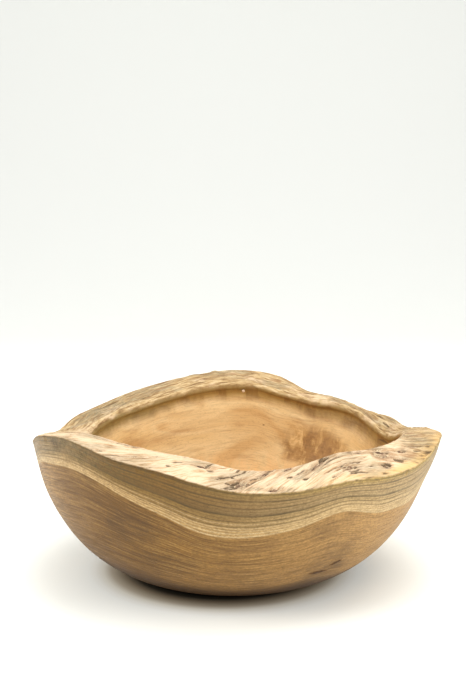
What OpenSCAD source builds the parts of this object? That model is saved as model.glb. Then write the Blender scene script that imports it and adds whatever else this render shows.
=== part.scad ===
// Natural-edge bowl carved from one block of root wood.
// The outer wall and the hollow are turned shapes. The rim is the skin of the tree just under its bark,
// left uncut, so it rises and falls all the way round. Scraps of ingrown bark sit in pockets in that rim,
// a borer hole under the back lip is stopped with filler, and two dead knots show low on the wall.
// +Z is up, the base rests on z = 0, and the wall's axis is the Z axis. Millimetres.

/* [Outer wall] */
// Diameter of the flat base
base_d = 124; // [110:1:136]
// Diameter of the wall's form at the top of the uncut blank
blank_d = 305; // [298:1:316]
// Height of the uncut blank, above the highest point of the rim
blank_h = 130; // [128:1:140]

/* [Hollow] */
// Diameter of the mouth
mouth_d = 225; // [214:1:230]
// How far the hollow sits off the wall's axis, along X
mouth_shift = 8.5; // [0:0.5:11]
// Wood left under the hollow
floor_t = 16; // [10:1:22]
// How far the wall of the hollow is cut back under the lip
undercut = 1; // [0:0.5:3]

/* [Natural edge] */
// Added to every height of the natural edge
edge_lift = 0; // [-6:1:6]
// How much the natural surface crowns between the lip and the outer edge
crown = 1.5; // [0:0.5:4]
// How far the bark scraps lie below the natural surface
bark_recess = 0.7; // [0.3:0.1:1.5]

/* [Filler] */
// Diameter of the filled borer hole
filler_d = 2.6; // [2:0.2:4]
// Depth of the filled borer hole
filler_l = 7; // [4:1:12]
// Height of the filled borer hole
filler_z = 108.5; // [104:0.5:109]

/* [Hidden] */
// Height of the natural surface above the base at the outer edge, every 15 degrees round from +X.
EDGE_Z = [
    101, 95, 94, 96, 103, 114, 119, 115, 108, 101, 95, 90,
    96, 104, 114, 119, 112, 106, 95, 93, 96, 93, 94, 104
];
// The same at the lip of the mouth.
LIP_Z = [
    99, 92, 94, 102, 105, 107, 113, 112, 108, 104, 102, 100,
    98, 105, 109, 109, 109, 107, 102, 104, 110, 109, 108, 105
];

// Bark scraps: name, [x, y], half length, half width, bearing of the long way from +X.
BARK = [
    ["bark_front_edge", [5, -136], 7.5, 4.4, 40],
    ["bark_front_seam", [19, -122], 11.5, 2.8, 47],
    ["bark_front_lip", [33, -116.5], 7.5, 3.2, 40],
    ["bark_edge_strip", [25, -139], 5.5, 1.8, 10],
    ["bark_long_seam", [50.5, -115.5], 13, 2.5, 45],
    ["bark_spot", [73, -114], 7, 3.2, 20],
    ["bark_lip_strip", [78.5, -93.5], 8.5, 2.3, 32],
    ["bark_right_patch", [97, -84], 9, 5.6, 35],
    ["bark_right_fleck", [99.5, -96], 5, 2, 35],
    ["bark_right_seam", [112, -70], 6.5, 2.3, 33],
    ["bark_right_groove", [122, -58.5], 8.5, 1.8, 28],
    ["bark_left_seam", [-19, -124], 7, 2.4, 25],
    ["bark_left_streak", [-81, -86], 8, 2.2, -26]
];
// Dead knots in the wall: name, azimuth, height, half length along the wall, half height, tilt.
KNOTS = [
    ["knot_low", 299.5, 28, 6.5, 1.5, 4],
    ["knot_high", 305, 35, 5, 1.3, -24]
];

$fn = 240;
STATION = 15;                          // degrees between the listed rim heights
STEP = 5;                              // degrees between the modelled rim heights
RINGS = [-0.3, 0.2, 0.5, 0.8, 1.3];    // where the modelled rings lie: 0 is the lip, 1 the outer edge
CURVE_STEPS = 14;
FLOAT = 0.45;                          // how much of a scrap's half length its centre sits above the wood
KNOT_SINK = 0.55;                      // how much of a knot's half length its centre sits inside the wall
REACH = 20;                            // past any surface, for a clean cut
edge_r = 147;                          // radius of the wall at the mean height of the rim
mouth_r = mouth_d / 2;

function bezier(p, t) =
    pow(1 - t, 3) * p[0] + 3 * pow(1 - t, 2) * t * p[1]
    + 3 * (1 - t) * t * t * p[2] + pow(t, 3) * p[3];
function curve(p) = [for (i = [0 : CURVE_STEPS]) bezier(p, i / CURVE_STEPS)];

// The wall's form, from the edge of the base to the top of the blank.
WALL = curve([[base_d / 2, 0], [base_d / 2 + 75, 17], [blank_d / 2 - 9.5, 95.5], [blank_d / 2, blank_h]]);
function wall_r(z) = lookup(z, [for (p = WALL) [p[1], p[0]]]);

// Height at any azimuth: a smooth curve through the listed stations, closed on itself.
function smooth(a, b, c, d, t) =
    0.5 * (2 * b + (c - a) * t + (2 * a - 5 * b + 4 * c - d) * t * t
    + (3 * b - a - 3 * c + d) * t * t * t);
function round_height(list, azimuth) =
    let (n = len(list), u = azimuth / STATION, i = floor(u))
    smooth(list[(i + n - 1) % n], list[i % n], list[(i + 1) % n], list[(i + 2) % n], u - i);

// A point of the natural surface: ring 0 is over the mouth, ring 1 over the wall.
function edge_xy(azimuth, ring) =
    (1 - ring) * [mouth_shift + mouth_r * cos(azimuth), mouth_r * sin(azimuth)]
    + ring * edge_r * [cos(azimuth), sin(azimuth)];
function edge_z(azimuth, ring) =
    edge_lift + (1 - ring) * round_height(LIP_Z, azimuth) + ring * round_height(EDGE_Z, azimuth)
    + 4 * crown * max(0, ring * (1 - ring));
function edge_point(azimuth, ring) =
    let (p = edge_xy(azimuth, ring)) [p[0], p[1], edge_z(azimuth, ring)];

// Height of the natural surface over a point of the rim.
function azimuth_of(p) = (atan2(p[1], p[0]) + 360) % 360;
function ring_of(p) =
    (norm(p - [mouth_shift, 0]) - mouth_r) / (norm(p - [mouth_shift, 0]) - mouth_r + edge_r - norm(p));
function surface_z(p) = edge_z(azimuth_of(p), ring_of(p));

// The tree under its bark: a log whose upper face is the natural surface.
module log_under_bark(drop = 0) {
    n = 360 / STEP;
    m = len(RINGS);
    function at(ring, i) = ring * n + i % n;
    top = [for (ring = RINGS) for (i = [0 : n - 1]) edge_point(i * STEP, ring) - [0, 0, drop]];
    foot = [for (i = [0 : n - 1]) let (p = edge_xy(i * STEP, RINGS[m - 1])) [p[0], p[1], -REACH]];
    hub = [[mouth_shift, 0, LIP_Z[0]], [mouth_shift, 0, -REACH]];
    hub_top = len(top) + n;
    polyhedron(
        points = concat(top, foot, hub),
        faces = concat(
            [for (i = [0 : n - 1]) [hub_top, at(0, i + 1), at(0, i)]],
            [for (r = [0 : m - 2]) for (i = [0 : n - 1]) [at(r, i), at(r, i + 1), at(r + 1, i)]],
            [for (r = [0 : m - 2]) for (i = [0 : n - 1]) [at(r, i + 1), at(r + 1, i + 1), at(r + 1, i)]],
            [for (i = [0 : n - 1]) [at(m - 1, i), at(m - 1, i + 1), at(m, i)]],
            [for (i = [0 : n - 1]) [at(m - 1, i + 1), at(m, i + 1), at(m, i)]],
            [for (i = [0 : n - 1]) [hub_top + 1, at(m, i), at(m, i + 1)]]
        )
    );
}

module turned_wall() {
    rotate_extrude() polygon(concat([[0, 0]], WALL, [[0, blank_h]]));
}

module hollow() {
    r = mouth_r + undercut;
    bowl = curve([[0, floor_t], [r - 29.5, floor_t], [r - 1.5, floor_t + 20], [r, 90]]);
    translate([mouth_shift, 0, 0])
        rotate_extrude() polygon(concat(bowl, [[mouth_r, 106], [mouth_r, blank_h + REACH], [0, blank_h + REACH]]));
}

// A lens standing on edge: long along X, thin along Y, and as deep as it is long.
module lens(half_length, half_width) {
    r = (half_length * half_length + half_width * half_width) / (2 * half_width);
    intersection() {
        translate([0, r - half_width, 0]) sphere(r = r);
        translate([0, half_width - r, 0]) sphere(r = r);
    }
}

module bark_pocket(b) {
    translate([b[1][0], b[1][1], surface_z(b[1]) + FLOAT * b[2]])
        rotate([0, 0, b[4]])
        lens(b[2], b[3]);
}

module knot_pocket(k) {
    rotate([0, 0, k[1]])
        translate([wall_r(k[2]) - KNOT_SINK * k[3], 0, k[2]])
        rotate([k[5], 0, 0])
        rotate([90, 0, 90])
        rotate([90, 0, 0])
        lens(k[3], k[4]);
}

module filler_hole() {
    translate([mouth_shift, 0, filler_z])
        rotate([-90, 0, 0])
        cylinder(r = filler_d / 2, h = mouth_r + filler_l);
}

module bowl_body() {
    color("burlywood")
        difference() {
            intersection() {
                turned_wall();
                log_under_bark();
            }
            hollow();
            filler_hole();
            for (b = BARK) bark_pocket(b);
            for (k = KNOTS) knot_pocket(k);
        }
}

module bark_scrap(b) {
    color("saddlebrown")
        intersection() {
            bark_pocket(b);
            log_under_bark(bark_recess);
        }
}

module dead_knot(k) {
    color("dimgray")
        intersection() {
            knot_pocket(k);
            turned_wall();
        }
}

module hole_filler() {
    color("mistyrose")
        difference() {
            filler_hole();
            hollow();
        }
}

bowl_body();
for (b = BARK) bark_scrap(b);
hole_filler();
for (k = KNOTS) dead_knot(k);
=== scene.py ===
"""A natural-edge bowl carved from root wood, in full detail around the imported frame.

Lengths are in mm until a mesh is made; the scene itself is in metres.
"""

import bpy
import numpy as np
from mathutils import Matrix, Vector
from mathutils.bvhtree import BVHTree


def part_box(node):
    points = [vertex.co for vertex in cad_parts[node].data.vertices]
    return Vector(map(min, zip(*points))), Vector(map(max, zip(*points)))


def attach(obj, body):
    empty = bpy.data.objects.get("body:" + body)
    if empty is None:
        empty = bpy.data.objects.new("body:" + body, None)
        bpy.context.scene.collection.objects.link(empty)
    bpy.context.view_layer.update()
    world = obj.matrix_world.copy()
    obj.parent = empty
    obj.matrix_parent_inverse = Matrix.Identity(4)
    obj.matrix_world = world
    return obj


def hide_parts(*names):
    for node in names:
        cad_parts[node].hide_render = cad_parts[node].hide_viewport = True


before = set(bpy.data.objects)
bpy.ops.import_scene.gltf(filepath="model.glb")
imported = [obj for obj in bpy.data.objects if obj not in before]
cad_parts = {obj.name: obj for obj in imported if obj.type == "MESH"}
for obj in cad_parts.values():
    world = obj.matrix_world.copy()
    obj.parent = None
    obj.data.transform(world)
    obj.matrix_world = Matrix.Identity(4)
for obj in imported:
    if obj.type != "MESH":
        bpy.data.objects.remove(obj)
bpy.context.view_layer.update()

MM = 0.001
ABOVE = 200.0                   # height from which rays are dropped
DOWN = Vector((0, 0, -1))
TOOL_AZIMUTH = 225.0            # where the turned profiles are read off the CAD bowl
PROFILE_Z = 100.0               # height of the point that the turned profiles are seen from
FOOT_ANGLE = -57.6              # the edge of the foot, seen from that point
CAD_STEP = 5                    # degrees between the CAD bowl's own rim heights
CROWN = 1.5                     # how much the natural surface swells between lip and outer edge

COARSE = 360                    # columns round the turned surfaces
FINE = 3 * COARSE               # columns round the natural edge
WALL_ROWS = 34
CORNER_ROWS = 3
NATURAL_ROWS = 44
LIP_ROWS = 8
HOLLOW_ROWS = 46
CORNER = 0.9                    # rounding of the outer edge
LIP_WIDE = 4.4                  # the rolled lip, across and down
LIP_DEEP = 5.0
LIP_WORN = 2.8                  # how uneven the lip has worn
FOOT_RECESS = 0.9
# The foot from its middle to its edge: part of its radius, height.
FOOT_STEPS = [
    (0.004, FOOT_RECESS), (0.3, FOOT_RECESS), (0.6, 0.85), (0.78, 0.7), (0.83, 0.1), (0.86, 0),
    (0.975, 0),
]

# Swells and dips of the natural edge: azimuth, ring, half azimuth, half ring, rise.
# Ring is 0 at the lip and 1 at the outer edge.
SWELLS = [
    (20, 1, 6, 0.45, -3), (32, 1, 6, 0.4, 0.6), (40, 1, 5, 0.4, -1.6), (47, 0.9, 7, 0.4, 0.6),
    (65, 1, 6, 0.4, -2.4), (77, 1, 7, 0.4, 0.8), (161, 1, 8, 0.4, -3.2), (20, 0, 9, 0.35, -3),
    (38, 0, 7, 0.3, 1.6), (61, 0, 7, 0.3, -2.4), (83, 0, 6, 0.25, 1.6), (145, 0.45, 26, 0.2, -2.2),
    (155, 0.9, 26, 0.16, 1), (142, 1, 12, 0.3, -1.2), (188, 1, 11, 0.5, -2.2), (258, 1, 6, 0.3, -1),
    (346, 1, 6, 0.4, 0.8), (8, 1, 2, 0.25, 1.1), (13, 1, 1.6, 0.25, 0.9), (110, 0.5, 22, 0.18, -1),
    (280, 0.4, 12, 0.3, -0.8), (300, 0.6, 10, 0.3, 0.8), (232, 0.5, 12, 0.3, 0.7),
    (100, 1, 14, 0.3, -1),
]
STRAND = 0.7                    # width of the strands that bark tears into
# Where the edge leaves the turned form: azimuth, half azimuth, reach outward.
FLARES = [(346, 14, 2.6), (197, 13, -2.4)]

# How the fibres lie across the front of the natural edge: x, bearing in degrees.
FIBRES = [
    (-145, -18), (-95, 0), (-40, 25), (0, 43), (55, 45), (75, 38), (95, 36), (110, 30), (130, 18),
    (145, 12),
]
BACK_FROM, BACK_TO = -15.0, 35.0   # y over which the fibres turn to follow the rim
RIM_R = 130.0
RIM_WIDE = 40.0

# What a mark in the natural surface is: depth, dark, rust, grey.
KINDS = {
    "fissure": (0.9, 0.85, 0.50, 0.20),
    "groove": (0.8, 0.70, 0.25, 0.40),
    "pit": (1.0, 0.85, 0.20, 0.20),
    "stain": (0.1, 0.12, 0.05, 0.85),
    "bark": (0.4, 0.28, 0.70, 0.05),
}
# Marks: kind, x, y, half length, half width, bearing.
MARKS = [
    ("pit", 35, -126, 3, 1.6, 20), ("pit", 0, -128, 1.6, 1.3, 0),
    ("pit", -3.5, -136.5, 1.7, 1.4, 0), ("pit", 45, -127, 2.4, 1.3, 40),
    ("fissure", 57, -107.5, 5, 1.5, 28), ("fissure", 75, -117, 3.4, 1.2, 10),
    ("fissure", 99, -94.5, 5, 1.5, 34), ("fissure", 108.5, -83, 4.4, 2, 30),
    ("groove", 111.5, -70, 6, 1.5, 33), ("groove", 122, -58.5, 9.5, 1.1, 29),
    ("groove", 120.5, -51.5, 4.5, 1, 24), ("groove", 129.5, -43.5, 6, 1, 16),
    ("groove", 124.5, -62, 6, 1, 34), ("groove", 127.5, -65, 4.4, 0.9, 33),
    ("groove", -97, -56, 4, 1, 17), ("fissure", -92, -70, 6, 1, -18),
    ("groove", -82, -116.5, 3, 0.9, 35), ("pit", -93, -117, 1.5, 0.9, 0),
    ("groove", -34.5, -124, 4, 1.3, 25), ("groove", -18.5, -124.5, 4.6, 1.2, 25),
    ("pit", -30, -110, 2.4, 1.2, 0), ("pit", -21, -111, 1.8, 1, 0), ("pit", -18, -111, 1.4, 0.9, 0),
    ("pit", -40, -130, 1.6, 1.4, 0), ("groove", -14, -126, 3, 1.4, 30),
    ("stain", 10, -113, 5, 2.4, 10), ("groove", -15.5, -119.5, 6, 1, 60),
    ("stain", -8, -133, 8, 3.4, 35), ("stain", -22, -120, 13, 4, 30), ("bark", 3, -131, 9, 2.6, 48),
    ("bark", 22, -117, 8, 2, 45), ("bark", 36, -113, 6, 2.2, 42), ("stain", 50, -119, 17, 5, 44),
    ("stain", 68, -101, 12, 3.5, 34), ("bark", 98, -86, 12, 5.6, 35), ("stain", 92, -80, 15, 4, 33),
    ("bark", 117, -72, 8, 2.2, 33), ("stain", -72, -88, 20, 4, -22),
    ("stain", -95, -75, 16, 3, -20), ("stain", 31, -139, 13, 3, 8), ("stain", 8, -140, 10, 2.4, 5),
    ("fissure", 63, -124, 2, 0.8, 30), ("fissure", 88, -103, 2.4, 0.8, 34),
    ("groove", 14, -126, 6, 0.9, 48), ("groove", 41, -121, 7, 0.9, 46),
    ("groove", -50, -117, 5, 0.9, 22), ("groove", -62, -122, 5, 0.8, 18),
    ("groove", -104, -70, 6, 0.9, -8), ("groove", -88, -80, 7, 0.9, -12),
    ("groove", -78, -92, 7, 0.9, -14), ("fissure", -99, -64, 5, 0.8, -6),
    ("groove", -66, -98, 6, 0.9, -10), ("groove", -110, -88, 5, 0.8, -4),
    ("groove", -88, -62, 8, 1.5, -15), ("groove", -80, -70, 9, 1.7, -15),
    ("fissure", -72, -78, 7, 1.2, -12), ("stain", -84, -66, 17, 6, -18),
    ("groove", -98, -60, 6, 1.3, -10), ("groove", -58, -96, 7, 1.1, 0),
    ("fissure", -86, -66, 5, 0.9, -20), ("groove", -74, -108, 6, 0.8, 4),
    ("stain", 126, -52, 14, 7, 25), ("groove", 136, -34, 6, 0.9, 8),
    ("groove", 128, -26, 7, 0.9, 0),
]
# The same at the back: kind, azimuth, ring, half length, half width, bearing.
BACK_MARKS = [
    ("pit", 157, 0.5, 2.4, 2, 60), ("stain", 159, 0.48, 12, 7, 64),
    ("groove", 162, 0.7, 7, 0.9, 70), ("stain", 52, 0.62, 8, 5, 140),
    ("pit", 50, 0.55, 1.4, 1.2, 0), ("stain", 56, 0.4, 6, 3, 150), ("bark", 32, 0.85, 6, 1.6, 122),
    ("groove", 30, 0.55, 8, 1.1, 118), ("groove", 24, 0.35, 8, 1, 112),
    ("bark", 76, 0.6, 6, 2.2, 165), ("bark", 90, 0.62, 9, 2, 0), ("groove", 84, 0.7, 6, 0.9, 20),
    ("bark", 118, 0.6, 10, 1.6, 30), ("groove", 104, 0.45, 8, 0.9, 12),
    ("stain", 135, 0.4, 14, 3.6, 46), ("groove", 12, 0.5, 9, 1, 100),
    ("groove", 5, 0.7, 7, 0.9, 98), ("stain", 8, 0.4, 9, 4, 98), ("stain", 146, 0.55, 30, 11, 54),
    ("stain", 120, 0.6, 22, 7, 32), ("groove", 150, 0.3, 12, 1.4, 60),
    ("groove", 138, 0.7, 14, 1.3, 50), ("groove", 126, 0.35, 12, 1.3, 38),
]
# Depth of the pale, striped outer wood below the rim: azimuth, mm.
SAPWOOD = [
    (0, 29), (30, 26), (60, 24), (100, 25), (140, 22), (180, 19), (205, 18), (220, 20.5),
    (236, 21.5), (247, 28), (262, 35), (276, 31), (290, 25.5), (297, 20.5), (304, 22), (312, 26.5),
    (323, 27), (334, 31), (360, 29),
]
INNER_SAPWOOD = 15.0            # the same down the wall of the hollow
# Broad smudges on the outer wall: azimuth, height, half azimuth, half height, strength.
WALL_SMUDGES = [
    (296, 66, 5, 9, 0.3), (303, 70, 4, 5, 0.22), (219.5, 115, 4, 4, 0.55), (241, 66, 9, 12, 0.34),
    (250, 44, 12, 5, 0.28), (232, 52, 10, 4, 0.22), (303, 38, 6, 4, 0.35), (297, 30, 6, 3.5, 0.35),
]
# Small marks in the hollow: azimuth, height, half azimuth, half height.
HOLLOW_MARKS = [(81.5, 80, 0.55, 0.6), (22, 82.5, 5.0, 0.9)]
PATCH_AZIMUTH, PATCH_Z = 58.0, 65.0   # middle of the dark figured patch in the hollow
PATCH_WIDE, PATCH_TALL = 16, 17       # its half sizes, in degrees and mm

SCRAP_GRID = (14, 144)          # rings and spokes of a bark scrap
PLUG_GRID = (10, 56)            # the same of a knot or the filler
KNOT_HALO = 1.9                 # reach of the dark wood round a dead knot, in the knot's sizes
KNOT_TILT = {"knot_low": 4, "knot_high": 26}
KNOT_DEEP, KNOT_DOME, KNOT_TORN, KNOT_SEED = 3.0, 0.2, 1.1, 60
FILLER_DEEP, FILLER_DOME, FILLER_TORN, FILLER_SEED = 6.0, 0.35, 0.2, 77


# Numbers ---------------------------------------------------------------------

def ease(low, high, x):
    """0 at low and before, 1 at high and after, eased between; low may be the larger."""
    u = np.clip((x - low) / (high - low), 0, 1)
    return u * u * (3 - 2 * u)


def turn(a, b):
    """The signed angle from b to a, in degrees."""
    return (a - b + 180) % 360 - 180


def polar(azimuth):
    """The unit vector at an azimuth, as (x, y)."""
    angle = np.radians(azimuth)
    return np.cos(angle), np.sin(angle)


def lattice(i, j, seed):
    """A fixed pseudo-random number from 0 to 1 for each lattice point."""
    mask = 0xFFFFFFFF
    h = (i * 374761393 + j * 668265263 + seed * 1442695041) & mask
    h = ((h ^ (h >> 13)) * 1274126177) & mask
    h = ((h ^ (h >> 15)) * 1103515245) & mask
    return ((h >> 8) & 0xFFFF) / 65535.0


def noise(u, v, seed):
    """Smooth noise from 0 to 1 with features about one unit across."""
    i, j = np.floor(u).astype(np.int64), np.floor(v).astype(np.int64)
    a, b = ease(0, 1, u - i), ease(0, 1, v - j)
    low = lattice(i, j, seed) * (1 - a) + lattice(i + 1, j, seed) * a
    high = lattice(i, j + 1, seed) * (1 - a) + lattice(i + 1, j + 1, seed) * a
    return low * (1 - b) + high * b


def fractal(u, v, seed, octaves=4):
    """Layers of noise, each twice as fine and half as strong, still from 0 to 1."""
    total, weight = 0.0, 0.0
    for k in range(octaves):
        total = total + noise(u * 2 ** k + 17 * k, v * 2 ** k + 5 * k, seed + k) / 2 ** k
        weight += 1 / 2 ** k
    return total / weight


def closed_curve(samples, azimuth):
    """A smooth closed curve through evenly spaced samples."""
    u = np.asarray(azimuth, float) % 360 / 360 * len(samples)
    i = np.floor(u).astype(int)
    t = u - i
    a, b, c, d = (samples[(i + k) % len(samples)] for k in (-1, 0, 1, 2))
    bend, twist = 2 * a - 5 * b + 4 * c - d, 3 * b - a - 3 * c + d
    return 0.5 * (2 * b + (c - a) * t + bend * t ** 2 + twist * t ** 3)


# The CAD bowl, measured ------------------------------------------------------

def cad_points(name):
    """A CAD node's vertices, in mm."""
    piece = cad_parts[name]
    return np.array([piece.matrix_world @ v.co for v in piece.data.vertices]) / MM


def cad_tree(name):
    """A tree that rays can be cast against."""
    faces = [tuple(p.vertices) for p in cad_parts[name].data.polygons]
    return BVHTree.FromPolygons([Vector(p) for p in cad_points(name)], faces)


TREE = cad_tree("bowl_body")


def hit(start, way):
    """Where a ray first meets the CAD bowl."""
    return np.array(TREE.ray_cast(Vector(start), Vector(way))[0])


def turned_profile(axis_x, low, high, from_outside):
    """Distance from the axis point at PROFILE_Z to the wall, by the angle above the horizon."""
    cos_a, sin_a = polar(TOOL_AZIMUTH)
    centre = np.array([axis_x, 0, PROFILE_Z])
    angles = np.linspace(low, high, 90)
    found = []
    for angle in np.radians(angles):
        way = np.array([cos_a * np.cos(angle), sin_a * np.cos(angle), np.sin(angle)])
        place = hit(centre + ABOVE * way, -way) if from_outside else hit(centre, way)
        found.append(np.linalg.norm(place - centre))
    return np.polynomial.Polynomial.fit(angles, found, 8)


def mouth_axis():
    """How far the hollow's axis is from the wall's, and the radius of the mouth."""
    right = hit((0, 0, 60), (1, 0, 0))[0]
    left = hit((0, 0, 60), (-1, 0, 0))[0]
    shift = (left + right) / 2
    cos_a, sin_a = polar(TOOL_AZIMUTH)
    edge = hit((shift, 0, 105), (cos_a, sin_a, 0))
    return shift, np.hypot(edge[0] - shift, edge[1])


SHIFT, MOUTH_R = mouth_axis()
OUTER = turned_profile(0, FOOT_ANGLE, 6.5, True)
INNER = turned_profile(SHIFT, -90, 2.0, False)


def on_profile(profile, angle):
    """Radius and height of a turned profile at an angle above the horizon."""
    cos_a, sin_a = polar(angle)
    return profile(angle) * cos_a, PROFILE_Z + profile(angle) * sin_a


def angle_at(profile, height, low):
    """The angle at which a turned profile reaches a height."""
    angles = np.linspace(low, 12, 600)
    return np.interp(height, on_profile(profile, angles)[1], angles)


def wall_r(height):
    """Radius of the outer wall at a height."""
    return on_profile(OUTER, angle_at(OUTER, height, FOOT_ANGLE))[0]


def rim_heights():
    """The CAD bowl's rim heights at the lip and at the outer edge, every CAD_STEP degrees."""
    lip, edge = [], []
    for azimuth in range(0, 360, CAD_STEP):
        cos_a, sin_a = polar(azimuth)
        lip.append(hit((SHIFT + (MOUTH_R + 1) * cos_a, (MOUTH_R + 1) * sin_a, ABOVE), DOWN)[2])
        for radius in np.arange(RIM_R + 25, RIM_R, -0.4):
            top = TREE.ray_cast(Vector((radius * cos_a, radius * sin_a, ABOVE)), DOWN)[0]
            if top is not None:
                break
        edge.append(top[2])
    return np.array(lip), np.array(edge)


LIP, EDGE = rim_heights()


# The natural surface ---------------------------------------------------------

def natural(azimuth, ring):
    """Height of the natural surface: ring 0 is the lip, 1 the outer edge."""
    height = (1 - ring) * closed_curve(LIP, azimuth) + ring * closed_curve(EDGE, azimuth)
    height = height + 4 * CROWN * np.clip(ring * (1 - ring), 0, None)
    for at, where, half, deep, rise in SWELLS:
        off = -(turn(azimuth, at) / half) ** 2 - ((ring - where) / deep) ** 2
        height = height + rise * np.exp(off)
    return height


def flare(azimuth):
    """How far the edge lies outside the turned form."""
    return sum(reach * np.exp(-(turn(azimuth, at) / half) ** 2) for at, half, reach in FLARES)


def edge_ring(azimuth):
    """Radius and height of the outer edge."""
    height = natural(azimuth, 1.0)
    return wall_r(height) + flare(azimuth), height


def rim_xy(azimuth, ring):
    """Plan position on the natural surface."""
    cos_a, sin_a = polar(azimuth)
    inner, outer = MOUTH_R, edge_ring(azimuth)[0]
    radius = (1 - ring) * inner + ring * outer
    return radius * cos_a + (1 - ring) * SHIFT, radius * sin_a


def locate(x, y):
    """Azimuth and ring of a plan position on the natural surface."""
    azimuth = np.degrees(np.arctan2(y, x))
    ring = np.full_like(azimuth, 0.5)
    for _ in range(5):
        now_x, now_y = rim_xy(azimuth, ring)
        azimuth = azimuth + turn(np.degrees(np.arctan2(y, x)), np.degrees(np.arctan2(now_y, now_x)))
        ring = ring + (np.hypot(x, y) - np.hypot(now_x, now_y)) / (edge_ring(azimuth)[0] - MOUTH_R)
    return azimuth % 360, ring


def front_flow(x, y):
    """Coordinates along and across the fibres at the front, in mm."""
    steps = np.linspace(-170, 170, 681)
    slope = np.tan(np.radians(np.interp(steps, *zip(*FIBRES))))
    climb = np.cumsum(slope) * (steps[1] - steps[0])
    return x, y - np.interp(x, steps, climb)


def back_flow(azimuth, ring):
    """The same at the back, where the fibres follow the rim."""
    return turn(azimuth, 90) * np.pi / 180 * RIM_R, ring * RIM_WIDE


def scrap_form(name):
    """A bark scrap's centre, half length, half width and bearing, from the CAD node."""
    plan = cad_points(name)[:, :2]
    centre = (plan.min(0) + plan.max(0)) / 2
    spread, axes = np.linalg.eigh(np.cov((plan - centre).T))
    along = axes[:, 1]
    reach = (plan - centre) @ axes
    across, length = np.ptp(reach, axis=0)
    return centre, length / 2, across / 2, np.degrees(np.arctan2(along[1], along[0]))


SCRAPS = {name: scrap_form(name) for name in sorted(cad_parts) if name.startswith("bark_")}


def inside(x, y, centre, length, width, bearing, ragged, seed):
    """1 inside a ragged ellipse, 0 outside it, eased between."""
    cos_b, sin_b = polar(bearing)
    u = (x - centre[0]) * cos_b + (y - centre[1]) * sin_b
    v = (y - centre[1]) * cos_b - (x - centre[0]) * sin_b
    wander = fractal(u / 4.0 + seed, v / 1.6 - seed, seed, 3) - 0.5
    return ease(1.35, 0.35, (u / length) ** 2 + (v / width) ** 2 + ragged * wander)


def all_marks():
    """Every mark by plan position."""
    for kind, x, y, length, width, bearing in MARKS:
        yield kind, (x, y), length, width, bearing
    for kind, azimuth, ring, length, width, bearing in BACK_MARKS:
        yield kind, rim_xy(azimuth, ring), length, width, bearing


def weather(x, y, azimuth, ring):
    """Relief of the natural surface in mm, and how dark, rust red and grey it is."""
    back = ease(BACK_FROM, BACK_TO, y)
    fields = []
    for along, across, seed in ((*front_flow(x, y), 11), (*back_flow(azimuth, ring), 51)):
        fibre = fractal(along / 13, across / 1.4, seed, 3)
        split = fractal(along / 11, across / 1.7, seed + 7, 3)
        patch = fractal(along / 30, across / 11, seed + 13, 3)
        fields.append((fibre, split, patch))
    fibre, split, patch = (a * (1 - back) + b * back for a, b in zip(*fields))
    broad = fractal(x / 26, y / 26, 91, 3) - 0.5
    lumps = fractal(x / 8, y / 8, 95, 2) - 0.5
    cracked = ease(0.54, 0.70, split) * ease(0.40, 0.60, patch) * (1 - 0.6 * back)
    relief = 2.6 * broad + (0.8 + 1.2 * back) * lumps + 1.4 * (fibre - 0.5) - 1.2 * cracked
    dark, rust = 0.85 * cracked, 0.45 * ease(0.48, 0.66, split) * ease(0.44, 0.62, patch)
    dark = np.maximum(dark, 0.40 * np.exp(-(turn(azimuth, 143) / 24) ** 2))
    grey = 0.55 * ease(0.46, 0.70, patch)
    for number, (kind, centre, length, width, bearing) in enumerate(all_marks()):
        depth, black, red, pale = KINDS[kind]
        here = inside(x, y, centre, length, width, bearing, 1.5, 200 + number)
        relief = relief - depth * here
        dark = np.maximum(dark, black * here)
        rust = np.maximum(rust, red * here)
        grey = np.maximum(grey, pale * here * ease(0.25, 0.6, fibre))
    for number, (centre, length, width, bearing) in enumerate(SCRAPS.values()):
        here = inside(x, y, centre, length * 1.05, width * 1.10, bearing, 0.9, 400 + number)
        around = inside(x, y, centre, length * 1.7, width * 1.9, bearing, 2.2, 500 + number)
        relief = relief - 1.0 * here
        dark = np.maximum(dark, 0.45 * here)
        rust = np.maximum(rust, 0.42 * around)
        grey = np.maximum(grey, 0.5 * around * ease(0.5, 0.7, split))
    return relief, dark, rust, grey


# The bowl's mesh -------------------------------------------------------------

class Rows:
    """Rings of vertices from the middle of the foot to the middle of the hollow."""

    def __init__(self):
        self.points = []
        self.fields = {name: [] for name in FIELDS}

    def add(self, x, y, z, **fields):
        x, y, z = np.broadcast_arrays(x, y, z)
        self.points.append(np.stack([x, y, z], 1))
        for name, rows in self.fields.items():
            rows.append(np.broadcast_to(fields.get(name, 0.0), x.shape).astype(float))

    def faces(self):
        """Strips between neighbouring rows; the natural edge has three times the columns."""
        found, start = [], 0
        for below, above in zip(self.points[:-1], self.points[1:]):
            found += strip(start, len(below), start + len(below), len(above))
            start += len(below)
        return found


def strip(low, low_count, high, high_count):
    """Faces between two rings of vertices."""
    count = min(low_count, high_count)
    step_low, step_high = low_count // count, high_count // count
    faces = []
    for k in range(count):
        after = (k + 1) % count
        a, b = low + k * step_low, low + after * step_low
        c, d = high + after * step_high, high + k * step_high
        if step_low == step_high:
            faces.append((a, b, c, d))
        elif step_high == 3:
            faces += [(a, d + 1, d), (a, b, d + 2, d + 1), (b, c, d + 2)]
        else:
            faces += [(a, a + 1, d), (a + 1, a + 2, c, d), (a + 2, b, c)]
    return faces


FIELDS = (
    "ring", "heart", "natural", "hollow", "dark", "rust",
    "grey", "amber", "stain", "figure", "back", "aged",
)
LOW_AZIMUTHS = np.arange(COARSE) * 360 / COARSE
ALL_AZIMUTHS = np.arange(FINE) * 360 / FINE


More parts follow.
